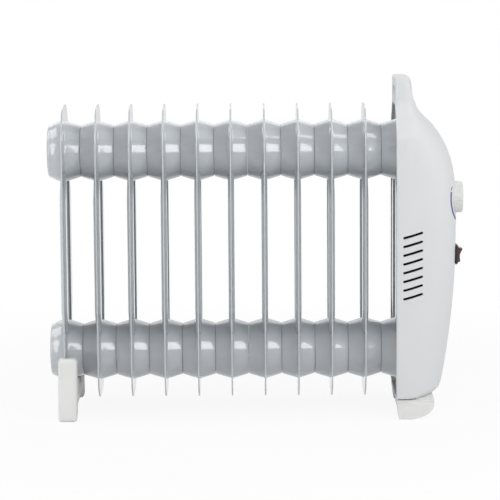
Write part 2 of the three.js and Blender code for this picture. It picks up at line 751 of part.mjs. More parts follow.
function makeFrontFoot() {
  const { halfSpan, arch, legWidth } = frontFoot;
  const front = roundedRect(halfSpan, 0, footTop, 5);
  let foot = sideFrom(frontFootSide(), -halfSpan, halfSpan, 8);
  foot = foot.intersect(plateFrom(front, -20, 99, 5));
  const under = new THREE.Shape();
  const inner = halfSpan - legWidth;
  under.setFromPoints(
    [
      [-inner, -1],
      [-inner + 8, arch],
      [inner - 8, arch],
      [inner, -1],
    ].map(([y, z]) => new THREE.Vector2(y, z)),
  );
  foot = foot.subtract(plateFrom(under, -20, 99));
  for (const y of footScrews) {
    foot = foot.subtract(upright(-1, footTop + 1, screwRadius + gap, footScrewPlace, y, 12));
    foot = foot.subtract(upright(-1, 9, screwHead + 0.6, footScrewPlace, y, 14));
  }
  return foot.subtract(finRoom(-20, flangeThickness / 2 + 0.5, 0.5));
}

piece("front_foot", makeFrontFoot(), "feet", lastFin);
footScrews.forEach((y, i) => {
  const head = upright(7, 9 - gap, screwHead, footScrewPlace, y, 12);
  const shank = upright(8, footTop + 11, screwRadius, footScrewPlace, y, 10);
  piece("foot_screw_" + (i + 1), head.add(shank), "steel", lastFin);
});

export default heater;
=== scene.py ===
import json
import math

import bmesh
import bpy
import numpy as np
from mathutils import Matrix, Vector


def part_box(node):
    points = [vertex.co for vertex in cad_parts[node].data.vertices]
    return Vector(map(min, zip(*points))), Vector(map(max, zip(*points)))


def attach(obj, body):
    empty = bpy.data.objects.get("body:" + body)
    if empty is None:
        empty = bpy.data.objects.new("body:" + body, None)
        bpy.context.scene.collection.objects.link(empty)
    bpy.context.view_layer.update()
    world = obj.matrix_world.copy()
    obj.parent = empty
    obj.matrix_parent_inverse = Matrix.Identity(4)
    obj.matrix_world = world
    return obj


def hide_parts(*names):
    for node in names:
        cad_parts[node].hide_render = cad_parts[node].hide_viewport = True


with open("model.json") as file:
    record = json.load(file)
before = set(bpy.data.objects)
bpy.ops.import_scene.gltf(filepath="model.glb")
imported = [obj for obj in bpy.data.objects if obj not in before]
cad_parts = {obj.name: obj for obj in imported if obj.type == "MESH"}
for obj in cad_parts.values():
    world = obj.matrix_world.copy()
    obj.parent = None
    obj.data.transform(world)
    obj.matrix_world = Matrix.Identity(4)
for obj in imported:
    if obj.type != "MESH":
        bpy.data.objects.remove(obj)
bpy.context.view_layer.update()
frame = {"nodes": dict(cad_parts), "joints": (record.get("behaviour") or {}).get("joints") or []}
print("frame loaded:", len(frame["nodes"]), "nodes")

# Sizes in the dictionaries are millimetres, and every mesh is scaled to metres as it is built
metre = 0.001
joints = {joint["name"]: joint for joint in frame["joints"]}


def boxOf(node):
    low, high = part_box(node)
    return low / metre, high / metre


# A socket that can be added, multiplied and compared like a number
class Wire:
    def __init__(self, tree, socket):
        self.tree = tree
        self.socket = socket

    def maths(self, operation, *terms):
        return self.tree.add("ShaderNodeMath", {"operation": operation}, dict(enumerate(terms)))

    def __add__(self, other):
        return self.maths("ADD", self, other)

    def __sub__(self, other):
        return self.maths("SUBTRACT", self, other)

    def __rsub__(self, other):
        return self.maths("SUBTRACT", other, self)

    def __mul__(self, other):
        return self.maths("MULTIPLY", self, other)

    def __truediv__(self, other):
        return self.maths("DIVIDE", self, other)

    def __gt__(self, other):
        return self.maths("GREATER_THAN", self, other)

    def __lt__(self, other):
        return self.maths("LESS_THAN", self, other)

    def __abs__(self):
        return self.maths("ABSOLUTE", self)

    __radd__ = __add__
    __rmul__ = __mul__


class Tree:
    def __init__(self, nodeTree):
        self.nodes = nodeTree.nodes
        self.links = nodeTree.links

    # Any node: its settings first, then the values or links of its sockets
    def add(self, kind, settings=None, sockets=None, take=0):
        node = self.nodes.new(kind)
        for key, value in (settings or {}).items():
            setattr(node, key, value)
        for key, value in (sockets or {}).items():
            self.join(value, node.inputs[key])
        return Wire(self, node.outputs[take])

    def join(self, value, socket):
        if isinstance(value, Wire):
            self.links.new(value.socket, socket)
        else:
            socket.default_value = value


# Materials

def linear(hexColor):
    channels = [int(hexColor[i : i + 2], 16) / 255 for i in (0, 2, 4)]
    return tuple(c / 12.92 if c <= 0.04045 else ((c + 0.055) / 1.055) ** 2.4 for c in channels)


class Paint(Tree):
    def __init__(self, name):
        self.material = bpy.data.materials.new(name)
        self.material.use_nodes = True
        super().__init__(self.material.node_tree)
        self.shader = self.nodes["Principled BSDF"]
        self.coords = self.add("ShaderNodeTexCoord", take="Object")

    def put(self, socket, value):
        self.join(value, self.shader.inputs[socket])

    def noise(self, scale, detail, rough=0.5, coords=None):
        sockets = {"Vector": coords or self.coords, "Scale": scale, "Detail": detail, "Roughness": rough}
        return self.add("ShaderNodeTexNoise", {}, sockets, "Fac")

    def stretch(self, scale):
        return self.add("ShaderNodeMapping", {}, {"Vector": self.coords, "Scale": scale})

    def mix(self, factor, first, second):
        sockets = {0: factor, 6: first, 7: second}
        return self.add("ShaderNodeMix", {"data_type": "RGBA"}, sockets, 2)

    # The place on the piece along its three axes, in millimetres
    def axes(self):
        split = self.add("ShaderNodeSeparateXYZ", {}, {"Vector": self.coords})
        return [Wire(self, socket) / metre for socket in split.socket.node.outputs]

    def smooth(self, value, low, high):
        settings = {"interpolation_type": "SMOOTHSTEP"}
        sockets = {"Value": value, "From Min": low, "From Max": high}
        return self.add("ShaderNodeMapRange", settings, sockets)


def makeFinish(name, look):
    paint = Paint(name)
    color = linear(look["color"])
    dark = (*(c * (1 - look["mottle"]) for c in color), 1.0)
    light = (*(min(c * (1 + look["mottle"]), 1.0) for c in color), 1.0)
    brushed = look.get("brushed")
    place = paint.stretch(brushed) if brushed else paint.coords
    broad = paint.noise(look["broadScale"], 4.0, coords=place)
    fine = paint.noise(look["grainScale"], 2.0, 0.6, coords=place)
    paint.tone = paint.mix(broad * 0.75 + fine * 0.25, dark, light)
    paint.put("Base Color", paint.tone)
    paint.put("Roughness", (broad - 0.5) * look["roughSpread"] + fine * 0.04 + look["roughness"])
    paint.put("Metallic", look.get("metallic", 0.0))
    paint.put("Coat Weight", look.get("coat", 0.0))
    paint.put("Coat Roughness", look.get("coatRoughness", 0.1))
    paint.put("Specular IOR Level", look.get("specular", 0.5))
    height = fine + paint.noise(look["waveScale"], 2.0) * look["waveShare"]
    sockets = {"Height": height, "Strength": 1.0, "Distance": look["relief"] * metre}
    paint.put("Normal", paint.add("ShaderNodeBump", {}, sockets))
    return paint


# Each finish: its colour and how far that varies, the scales of its broad, fine and wavy patterns,
# the waves' share, its roughness and how far that varies, its relief in millimetres, and what else it needs
lookNames = "color mottle broadScale grainScale waveScale waveShare roughness roughSpread relief".split()
looks = {
    "fin_enamel": ("C3C8CC", 0.025, 26, 420, 130, 2.0, 0.2, 0.1, 0.012, {"coat": 1.0, "coatRoughness": 0.04}),
    "housing_plastic": ("DDDEE0", 0.012, 14, 1500, 600, 0.6, 0.42, 0.1, 0.018, {"specular": 0.45}),
    "foot_plastic": ("E6E6E5", 0.014, 22, 1300, 500, 0.7, 0.46, 0.1, 0.022, {"specular": 0.42}),
    "knob_plastic": ("DDDFDD", 0.012, 40, 1800, 700, 0.5, 0.38, 0.08, 0.01, {"specular": 0.45}),
    "steel": ("B4B7BA", 0.08, 60, 900, 200, 0.5, 0.34, 0.16, 0.01, {"metallic": 1.0}),
    # near-black steel for the mounting plate: painted shade, so the vent slots in the housing look dark
    "black_steel": ("0E0F10", 0.15, 45, 900, 240, 0.8, 0.6, 0.12, 0.012, {"specular": 0.3}),
    "shield_sheet": (
        "C9CCCE", 0.06, 40, 700, 90, 0.8, 0.24, 0.14, 0.012, {"metallic": 1.0, "brushed": (1.0, 1.0, 0.04)},
    ),
    "brass": ("C2A050", 0.1, 80, 900, 260, 0.5, 0.32, 0.16, 0.012, {"metallic": 1.0}),
    "black_plastic": ("141517", 0.12, 70, 1600, 500, 0.6, 0.38, 0.1, 0.014, {"specular": 0.45}),
    "rocker_red": ("4E0A10", 0.08, 90, 900, 300, 0.4, 0.18, 0.06, 0.004, {"coat": 0.5, "coatRoughness": 0.05}),
    "gasket_rubber": ("2A2B2C", 0.15, 90, 1300, 400, 0.8, 0.72, 0.14, 0.03, {}),
    "cream_plastic": ("D8D2C0", 0.05, 60, 1200, 300, 0.6, 0.5, 0.12, 0.02, {}),
}
paints = {name: makeFinish(name, dict(zip(lookNames, look), **look[-1])) for name, look in looks.items()}

# The printed dial round the knob: a cool arc, a warm arc on the far side, tick marks and dots
dial = {
    "start": 40, "radius": 24.0, "thick": 3.3, "endAngle": 20, "softEdge": 0.12,
    "coolColor": "27307C", "warmColor": "8E2F2B", "tickColor": "3A3B3D",
    "tickAngle": 29, "tickRadius": 24.4, "tickLong": 5.6, "tickThick": 1.5, "tickLean": 38,
    "upperAngles": [58, 76], "upperRadius": 25.2, "upperSize": 1.5,
}


def printDial(paint, start, height):
    x, y, z = paint.axes()
    z = z - height
    near = x > start
    side = abs(y)
    angle = z.maths("ARCTAN2", z, side)
    radius = z.maths("SQRT", y * y + z * z)
    half, soft = dial["thick"] / 2, dial["softEdge"]
    band = 1 - paint.smooth(abs(radius - dial["radius"]), half - soft, half + soft)
    arc = band * (angle < math.radians(dial["endAngle"])) * near
    cool = arc * (y < 0.0)
    warm = arc * (y > 0.0)

    def awayFrom(radius, degrees):  # both sides' marks are mirror images
        place = math.radians(degrees)
        return side - radius * math.cos(place), z - radius * math.sin(place)

    along, up = awayFrom(dial["tickRadius"], dial["tickAngle"])
    lean = math.radians(dial["tickLean"])
    lengthwise = along * -math.cos(lean) + up * math.sin(lean)
    across = along * math.sin(lean) + up * math.cos(lean)
    marks = (abs(lengthwise) < dial["tickLong"] / 2) * (abs(across) < dial["tickThick"] / 2) * near
    for degrees in dial["upperAngles"]:
        along, up = awayFrom(dial["upperRadius"], degrees)
        marks = marks + ((along * along + up * up) < (dial["upperSize"] / 2) ** 2) * near
    tone = paint.mix(cool, paint.tone, (*linear(dial["coolColor"]), 1.0))
    tone = paint.mix(warm, tone, (*linear(dial["warmColor"]), 1.0))
    tone = paint.mix(marks, tone, (*linear(dial["tickColor"]), 1.0))
    paint.put("Base Color", tone)


# The line in the knob's pointer groove
def printPointer(paint, pointer, face, height):
    spill = pointer["spill"]
    x, y, z = paint.axes()
    z = z - height
    inWidth = abs(y) < pointer["width"] / 2 + spill
    inLength = (z > pointer["start"] - spill) * (z < pointer["end"] + spill)
    inDepth = x > face - pointer["depth"] - 2 * spill
    tone = paint.mix(inWidth * inLength * inDepth, paint.tone, (*linear(pointer["color"]), 1.0))
    paint.put("Base Color", tone)


print("finishes mixed:", len(paints))


# Mesh work shared by the pieces

def build(name, points, faces):
    mesh = bpy.data.meshes.new(name)
    places = [tuple(float(c) * metre for c in p) for p in points]
    mesh.from_pydata(places, [], [tuple(map(int, f)) for f in faces])
    mesh.validate()
    piece = bpy.data.objects.new(name, mesh)
    bpy.context.scene.collection.objects.link(piece)
    return piece


def reshape(piece, work):
    bm = bmesh.new()
    bm.from_mesh(piece.data)
    work(bm)
    bm.to_mesh(piece.data)
    bm.free()
    return piece


def outwards(piece):
    def work(bm):
        bmesh.ops.remove_doubles(bm, verts=bm.verts, dist=1e-6)
        bmesh.ops.recalc_face_normals(bm, faces=bm.faces)

    return reshape(piece, work)


# Smooth shading that stops at edges sharper than the angle
def soften(piece, degrees):
    def work(bm):
        for face in bm.faces:
            face.smooth = True
        for edge in bm.edges:
            edge.smooth = edge.is_manifold and edge.calc_face_angle(0.0) < math.radians(degrees)

    return reshape(piece, work)


# The modifiers' result becomes the plain mesh
def settle(piece):
    bpy.context.view_layer.update()
    graph = bpy.context.evaluated_depsgraph_get()
    mesh = bpy.data.meshes.new_from_object(piece.evaluated_get(graph))
    piece.modifiers.clear()
    piece.data = mesh
    return piece


def combine(piece, tool, operation="DIFFERENCE"):
    modifier = piece.modifiers.new("cut", "BOOLEAN")
    modifier.operation = operation
    modifier.solver = "EXACT"
    modifier.object = tool
    settle(piece)
    bpy.data.objects.remove(tool)
    return piece


def bevel(piece, width, segments, degrees):
    modifier = piece.modifiers.new("edge", "BEVEL")
    modifier.width = width * metre
    modifier.segments = segments
    modifier.limit_method = "ANGLE"
    modifier.angle_limit = math.radians(degrees)
    modifier.use_clamp_overlap = True
    return settle(piece)


# A closed stack of rings with the same number of points
def stackRings(name, rings):
    count = len(rings[0])
    points = [p for ring in rings for p in ring]
    faces = []
    for first in range(0, len(points) - count, count):
        for i in range(count):
            a, b = first + i, first + (i + 1) % count
            faces.append((a, b, b + count, a + count))
    faces.append(tuple(reversed(range(count))))
    faces.append(tuple(range(len(points) - count, len(points))))
    return outwards(build(name, points, faces))


def circle(radius, sides):
    angles = [2 * math.pi * i / sides for i in range(sides)]
    return [(radius * math.cos(a), radius * math.sin(a)) for a in angles]


# Pairs of place and radius, turned about an axis along X
def turn(name, profile, y=0.0, z=0.0, sides=64, radiusAt=None):
    rings = []
    for along, radius in profile:
        ring = []
        for i in range(sides):
            angle = 2 * math.pi * i / sides
            r = radiusAt(along, radius, angle) if radiusAt else radius
            ring.append((along, y + r * math.cos(angle), z + r * math.sin(angle)))
        rings.append(ring)
    return stackRings(name, rings)


def rod(name, start, end, radius, y, z, sides=64):
    return turn(name, [(start, radius), (end, radius)], y, z, sides)


# Corners of an outline, each with its own fillet
def filleted(corners, segments=6):
    out = []
    count = len(corners)
    for i, (u, v, radius) in enumerate(corners):
        here = Vector((u, v))
        before = Vector(corners[i - 1][:2]) - here
        after = Vector(corners[(i + 1) % count][:2]) - here
        if radius <= 0:
            out.append((u, v))
            continue
        half = before.angle(after) / 2
        reach = min(radius / math.tan(half), before.length * 0.49, after.length * 0.49)
        start = here + before.normalized() * reach
        end = here + after.normalized() * reach
        for k in range(segments + 1):
            t = k / segments
            out.append(tuple(start * (1 - t) ** 2 + here * 2 * t * (1 - t) + end * t * t))
    return out


def roundedRect(halfWidth, low, high, corner, segments=6):
    points = []
    centres = [(halfWidth - corner, low + corner), (halfWidth - corner, high - corner)]
    centres += [(corner - halfWidth, high - corner), (corner - halfWidth, low + corner)]
    for quarter, (u, v) in enumerate(centres):
        for k in range(segments + 1):
            angle = math.pi / 2 * (quarter - 1 + k / segments)
            points.append((u + corner * math.cos(angle), v + corner * math.sin(angle)))
    return points


# An outline in Y and Z, given its thickness along X
def plateFrom(name, outline, x0, x1):
    return stackRings(name, [[(x, u, v) for u, v in outline] for x in (x0, x1)])


# The same with its two faces rounded off: each ring is the outline drawn in along its own normals
def pillow(name, outline, x0, x1, edge, steps):
    count = len(outline)
    twice = sum(outline[i - 1][0] * outline[i][1] - outline[i][0] * outline[i - 1][1] for i in range(count))
    inwards = math.copysign(1.0, twice)
    normals = []
    for i in range(count):
        run = (Vector(outline[(i + 1) % count]) - Vector(outline[i - 1])).normalized()
        normals.append(Vector((-run.y, run.x)) * inwards)
    rings = []
    for end, way in ((x0, 1), (x1, -1)):
        side = []
        for k in range(steps + 1):
            a = math.pi / 2 * k / steps
            inset = edge * (1 - math.sin(a))
            x = end + way * edge * (1 - math.cos(a))
            side.append([(x, u + n.x * inset, v + n.y * inset) for (u, v), n in zip(outline, normals)])
        rings += side if way > 0 else side[::-1]
    return stackRings(name, rings)


# An outline in X and Z, given its thickness along Y
def sideFrom(name, outline, y0, y1):
    return stackRings(name, [[(u, y, v) for u, v in outline] for y in (y0, y1)])


def block(name, low, high):
    outline = [(low[1], low[2]), (high[1], low[2]), (high[1], high[2]), (low[1], high[2])]
    return plateFrom(name, outline, low[0], high[0])


def upright(name, x, y, z0, z1, radius, sides=32):
    return stackRings(name, [[(x + u, y + v, z) for u, v in circle(radius, sides)] for z in (z0, z1)])


def hand(piece, body, slot, *nodes):
    if not piece.data.materials:
        piece.data.materials.append(paints[slot].material)
    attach(piece, body)
    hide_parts(*nodes)
    return piece


# A node group with named inputs, used as a modifier and read out as a plain mesh
class Growth(Tree):
    def __init__(self, name, inputs):
        self.group = bpy.data.node_groups.new(name, "GeometryNodeTree")
        super().__init__(self.group)
        self.group.interface.new_socket("Geometry", in_out="OUTPUT", socket_type="NodeSocketGeometry")
        for label, kind in inputs.items():
            self.group.interface.new_socket(label, in_out="INPUT", socket_type="NodeSocket" + kind)
        self.source = self.nodes.new("NodeGroupInput")
        self.target = self.nodes.new("NodeGroupOutput")

    def given(self, label):
        return Wire(self, self.source.outputs[label])

    def shapeOf(self, label):
        return self.add("GeometryNodeObjectInfo", {}, {"Object": self.given(label)}, "Geometry")

    def along(self, axis, value):
        return self.add("ShaderNodeCombineXYZ", {}, {axis: value})

    def onPoints(self, points, shape):
        return self.add("GeometryNodeInstanceOnPoints", {}, {"Points": points, "Instance": shape})

    def finishWith(self, geometry):
        whole = self.add("GeometryNodeRealizeInstances", {}, {"Geometry": geometry})
        sockets = {"Geometry": whole, "Material": self.given("Finish")}
        self.join(self.add("GeometryNodeSetMaterial", {}, sockets), self.target.inputs[0])

    def grow(self, name, values):
        piece = build(name, [], [])
        modifier = piece.modifiers.new("growth", "NODES")
        modifier.node_group = self.group
        for item in self.group.interface.items_tree:
            if item.item_type == "SOCKET" and item.in_out == "INPUT":
                modifier[item.identifier] = values[item.name]
        return settle(piece)


def clear(*pieces):
    for piece in pieces:
        bpy.data.objects.remove(piece)


# The fins
fin = {
    "corner": 40, "edge": 0.8, "rimEdge": 0.35,  # half the thickness of the sheet, and of its rolled rim
    "channelRise": 2.3, "channelInner": 21, "channelOuter": 50, "channelBevel": 3.6,
    "channelRoot": 19, "topFlat": 6, "ramp": 28.4,  # where a channel runs out below its header
    "headerSpacing": 219, "crest": 33.4, "neck": 28.0, "ease": 0.08,  # a header's largest and smallest radius
    "fillet": 2.6, "filletRise": 1.2, "weldGroove": 0.3, "weldWidth": 0.8, "seam": 0.1, "sides": 64,
    "domeReach": 19, "domeShoulder": 4.6, "domeFlare": 0.6, "domeSwell": 1.1, "domeBulge": 1.2,
}
sampleLow, sampleHigh = boxOf("fin_05")
finReach = (sampleHigh.x - sampleLow.x) / 2
finHalf = (sampleHigh.y - sampleLow.y) / 2
finMiddle = (sampleHigh.z + sampleLow.z) / 2
finTall = (sampleHigh.z - sampleLow.z) / 2
lowHeader = finMiddle - fin["headerSpacing"] / 2
finNames = sorted(name for name in frame["nodes"] if name.startswith("fin_"))


def finPlace(name):
    low, high = boxOf(name)
    return high.x - finReach if name == finNames[0] else low.x + finReach


# How far the pressed channel stands out of the sheet at a point
def channelRise(y, z):
    side = abs(y)
    up = abs(z - finMiddle)
    top = fin["headerSpacing"] / 2 - fin["channelRoot"]
    inner, outer = fin["channelInner"], fin["channelOuter"]
    run, rise = outer - inner - fin["topFlat"], fin["ramp"]
    slant = ((top - up) * run - (side - inner - fin["topFlat"]) * rise) / math.hypot(run, rise)
    depth = min(side - inner, outer - side, top - up, slant) / fin["channelBevel"]
    depth = min(max(depth, 0.0), 1.0)
    return fin["channelRise"] * depth * depth * (3 - 2 * depth)


def makePanel():
    corner = fin["corner"]
    straight = finTall - corner
    turns = [math.radians(t) for t in (90, 81, 70, 58, 46, 34, 22, 11)]
    ends = [(straight + corner * math.sin(t), finHalf - corner + corner * math.cos(t)) for t in turns]
    # Rows stand closer where the channels run out, and columns across each channel
    heights = np.concatenate([np.linspace(-straight, -98, 6), np.arange(-95, -57, 1.5), np.linspace(-56, 0, 9)])
    heights = np.concatenate([heights, -heights[-2::-1]])
    rows = [(-z, half) for z, half in ends] + [(z, finHalf) for z in heights] + ends[::-1]
    columns = np.concatenate([[0, 7, 13, 17], np.arange(19.6, 52, 1.55), [53.2, 54.8, 55.6, 56]])
    columns = np.concatenate([-columns[:0:-1], columns]) / columns[-1]
    points = []
    wide = len(columns)
    for face in (1, -1):
        for r, (z, half) in enumerate(rows):
            for c, u in enumerate(columns):
                y = u * half
                rim = r in (0, len(rows) - 1) or c in (0, wide - 1)
                thick = fin["rimEdge"] if rim else fin["edge"] + channelRise(y, z + finMiddle)
                points.append((face * thick, y, z + finMiddle))
    tall = len(rows)
    faces = []
    half = wide * tall
    for r in range(tall - 1):
        for c in range(wide - 1):
            a = r * wide + c
            faces.append((a, a + 1, a + wide + 1, a + wide))
            faces.append((half + a, half + a + wide, half + a + wide + 1, half + a + 1))
    rim = list(range(wide))
    rim += [r * wide + wide - 1 for r in range(1, tall)]
    rim += [(tall - 1) * wide + c for c in range(wide - 2, -1, -1)]
    rim += [r * wide for r in range(tall - 2, 0, -1)]
    for i, a in enumerate(rim):
        b = rim[(i + 1) % len(rim)]
        faces.append((a, half + a, half + b, b))
    return outwards(build("panelBlank", points, faces))


# A header's radius where it leaves the flange
def flared(x, radius):
    return radius + fin["filletRise"] * max(1 - x / fin["fillet"], 0) ** 2


def barrelSide():
    end = finReach + fin["seam"] / 2
    stations = [0, 0.8, 1.2, 1.7, 2.2, 2.6, 5, 8, 11, 13.5, 15.4, 16.6, 17.1, 17.4, 17.7, end]
    side = []
    for x in stations:
        t = x / finReach
        radius = fin["crest"] - (fin["crest"] - fin["neck"]) * ((1 - fin["ease"]) * t + fin["ease"] * t * t)
        groove = max((x - end + fin["weldWidth"]) / fin["weldWidth"], 0)
        side.append((x, flared(x, radius) - fin["weldGroove"] * groove**2))
    return side


def domeSide():
    rim = fin["neck"] + fin["domeFlare"]
    shoulder, bulge = fin["domeShoulder"], fin["domeBulge"]
    wall = fin["domeReach"] - shoulder
    side = []
    for x in [0, 0.8, 1.2, 1.7, 2.4, 3.2, 5, 8, 11, wall]:
        t = x / wall
        radius = fin["crest"] + (rim - fin["crest"]) * t + fin["domeSwell"] * math.sin(math.pi * t)
        side.append((x, flared(x, radius)))
    for k in range(1, 8):
        a = math.pi / 2 * k / 7
        side.append((wall + (shoulder - bulge) * math.sin(a), rim - shoulder * (1 - math.cos(a))))
    for t in (0.8, 0.6, 0.4, 0.2, 0.03):
        side.append((fin["domeReach"] - bulge * t * t, (rim - shoulder) * t))
    return side


def makeHeader(name, left, right):
    profile = [(-x, r) for x, r in reversed(left[1:])] + right
    return turn(name, profile, sides=fin["sides"])


finGrowth = Growth("radiatorFin", {
    "Panel": "Object", "Header": "Object", "Low Header": "Float", "Spacing": "Float", "Place": "Float",
    "Finish": "Material",
})
start = finGrowth.along("Z", finGrowth.given("Low Header"))
step = finGrowth.along("Z", finGrowth.given("Spacing"))
ports = finGrowth.add("GeometryNodeMeshLine", {}, {"Count": 2, "Start Location": start, "Offset": step})
headers = finGrowth.onPoints(ports, finGrowth.shapeOf("Header"))
both = finGrowth.add("GeometryNodeJoinGeometry", {}, {"Geometry": finGrowth.shapeOf("Panel")})
finGrowth.links.new(headers.socket, both.socket.node.inputs["Geometry"])
shift = finGrowth.along("X", finGrowth.given("Place"))
finGrowth.finishWith(finGrowth.add("GeometryNodeTransform", {}, {"Geometry": both, "Translation": shift}))

panelBlank = makePanel()
barrel, dome = barrelSide(), domeSide()
headerBlanks = {
    "middle": makeHeader("headerBlank", barrel, barrel),
    "first": makeHeader("headerFirst", dome, barrel),
    "last": makeHeader("headerLast", barrel, dome),
}
for name in finNames:
    kind = {finNames[0]: "first", finNames[-1]: "last"}.get(name, "middle")
    piece = finGrowth.grow("radiator_" + name, {
        "Panel": panelBlank, "Header": headerBlanks[kind], "Low Header": lowHeader * metre,
        "Spacing": fin["headerSpacing"] * metre, "Place": finPlace(name) * metre,
        "Finish": paints["fin_enamel"].material,
    })
    soften(piece, 50)
    hand(piece, "heater", "fin_enamel", name)
clear(panelBlank, *headerBlanks.values())
lastFin = finPlace(finNames[-1])
firstFin = finPlace(finNames[0])
print("fins pressed:", len(finNames))

# The control housing: X is measured from the last fin's plane
housing = {
    "width": 124, "bottom": 20.4, "top": 365, "rear": -3.6, "wall": 2.4, "curveStart": 6, "rearTop": 326,
    "shoulderStart": 302, "shoulderEnd": 342, "handleWidth": 70, "cavityTop": 337.6,
    "bodyPower": 1.75, "handlePower": 3,  # how square the front's curve is, low down and at the handle
    "topRound": 3.2, "bottomRound": 1.6, "rimRound": 2.4, "around": 84, "levelStep": 3.4,
    "gripBottom": 340, "gripTop": 353, "gripWidth": 50, "gripCorner": 6, "gripFlare": 2.4,
    "post": 4.2, "screwHole": 1.9, "plateFront": 20.5, "platePostGap": 0.3, "footPost": 15, "footPlace": 12,
}
frontPlaces = [
    (41, 20.4), (46.6, 25.5), (50.6, 42), (56.6, 80), (61.2, 122), (63.7, 165), (63.7, 240),
    (60.6, 267), (53, 290), (40, 311), (23, 329), (18.6, 340), (13.6, 365),
]
vent = {"count": 8, "pitch": 9.5, "length": 22.4, "slot": 2.8, "tilt": 14.5, "top": 199, "middle": 14.3}
knob = {
    "height": 233, "radius": 17.5, "flutes": 40, "fluteDepth": 0.45, "bevel": 2.1,
    "wall": 2.2, "hub": 5.6, "bore": 3.3,
    "seat": 59.2, "seatRadius": 18.5, "boss": 20.1, "bush": 4.9,  # the housing's floor and holes for it
    "pointer": {"width": 1.8, "start": 7.5, "end": 14.6, "depth": 0.8, "spill": 0.05, "color": "55585B"},
}
switch = {"height": 170, "holeHalf": 6.5, "holeTall": 9.7, "padHalf": 9.9, "padTall": 13.2, "padStart": 56.7}
gland = {"x": 14, "z": 48, "hole": 13.8}
plateScrews = [(-36, 40), (36, 40), (-30, 300), (30, 300)]
footScrews = [-50, 50]
finRoom = 0.5  # left round a fin where another piece takes it in
sharp = 0.01  # a round too small to see
beyond = 90  # clear of every face, for tools that cut right through


# A centripetal curve through the front line's places, as heights and reaches
def frontLine():
    places = [Vector(p) for p in frontPlaces]
    places = [places[0] * 2 - places[1]] + places + [places[-1] * 2 - places[-2]]
    steps = 14
    line = []
    for i in range(1, len(places) - 2):
        p = places[i - 1 : i + 3]
        gaps = [max((p[k + 1] - p[k]).length, 1e-6) ** 0.5 for k in range(3)]
        t1 = (p[1] - p[0]) / gaps[0] - (p[2] - p[0]) / (gaps[0] + gaps[1]) + (p[2] - p[1]) / gaps[1]
        t2 = (p[2] - p[1]) / gaps[1] - (p[3] - p[1]) / (gaps[1] + gaps[2]) + (p[3] - p[2]) / gaps[2]
        t1, t2 = t1 * gaps[1], t2 * gaps[1]
        square = p[2] * 3 - p[1] * 3 - t1 * 2 - t2
        cube = p[1] * 2 - p[2] * 2 + t1 + t2
        for k in range(steps):
            t = k / steps
            line.append(p[1] + t1 * t + square * t * t + cube * t**3)
    line.append(places[-2])
    return np.array([p.y for p in line]), np.array([p.x for p in line])


frontHeights, frontReaches = frontLine()


def smoothstep(value, low, high):
    t = min(max((value - low) / (high - low), 0.0), 1.0)
    return t * t * (3 - 2 * t)


def halfWidthAt(z):
    t = smoothstep(z, housing["shoulderStart"], housing["shoulderEnd"])
    return (housing["width"] + (housing["handleWidth"] - housing["width"]) * t) / 2


# One level of the housing: a straight rear, its two rounded corners, and a front that bows out
def housingRing(z, inset, rear, rimRound):
    h = housing
    half = halfWidthAt(z) - inset
    reach = float(np.interp(z, frontHeights, frontReaches)) - inset
    start = min(h["curveStart"], reach / 3)
    share = (half + inset - h["handleWidth"] / 2) / (h["width"] - h["handleWidth"]) * 2
    power = h["handlePower"] - (h["handlePower"] - h["bodyPower"]) * min(max(share, 0), 1)
    straight = [(rear, (half - rimRound) * (1 - i / 4)) for i in range(9)]
    turns = [math.pi / 8 * k for k in range(1, 5)]
    corner = [(rear + rimRound * (1 - math.cos(a)), half - rimRound * (1 - math.sin(a))) for a in turns]
    front = []
    for i in range(h["around"] + 1):
        sweep = math.pi * i / h["around"] - math.pi / 2
        y = half * math.copysign(abs(math.sin(sweep)) ** (2 / power), math.sin(sweep))
        front.append((start + (reach - start) * max(math.cos(sweep), 0) ** (2 / power), y))
    ring = straight + [(x, -y) for x, y in corner] + front + corner[::-1]
    return [(lastFin + x, y, z) for x, y in ring]


# How far a quarter-round edge is drawn in at a distance from its end
def roundIn(distance, radius):
    if distance >= radius:
        return 0.0
    return radius - math.sqrt(radius**2 - (radius - distance) ** 2)


def housingBody(name, z0, z1, inset, rear, rimRound=sharp, topRound=0.0, bottomRound=0.0):
    fractions = (0, 0.06, 0.18, 0.36, 0.6, 1)
    levels = [z0 + bottomRound * f for f in fractions] if bottomRound else [z0]
    low, high = z0 + max(bottomRound, sharp), z1 - max(topRound, sharp)
    levels += [float(z) for z in np.linspace(low, high, int((high - low) / housing["levelStep"]) + 1)[1:-1]]
    levels += [z1 - topRound * f for f in reversed(fractions)] if topRound else [z1]
    rings = []
    for z in levels:
        drawIn = 0.0
        if topRound:
            drawIn += roundIn(z1 - z, topRound)
        if bottomRound:
            drawIn += roundIn(z - z0, bottomRound)
        rings.append(housingRing(z, inset + drawIn, rear + drawIn, max(rimRound - drawIn / 2, sharp)))
    return stackRings(name, rings)


# The grip's hole, let out smoothly where it meets the two faces
def gripTool():
    h = housing
    low, high, flare = h["gripBottom"], h["gripTop"], h["gripFlare"]
    front = float(np.interp((low + high) / 2, frontHeights, frontReaches))
    deep = [flare * k / 5 for k in range(6)]
    stations = [(h["rear"] - 3, flare)] + [(h["rear"] + d, roundIn(d, flare)) for d in deep]
    stations += [(front - d, roundIn(d, flare)) for d in reversed(deep)] + [(front + 4, flare)]
    rings = []
    for x, let in stations:
        outline = roundedRect(h["gripWidth"] / 2 + let, low - let, high + let, h["gripCorner"] + let, 8)
        rings.append([(lastFin + x, u, v) for u, v in outline])
    return stackRings("gripTool", rings)


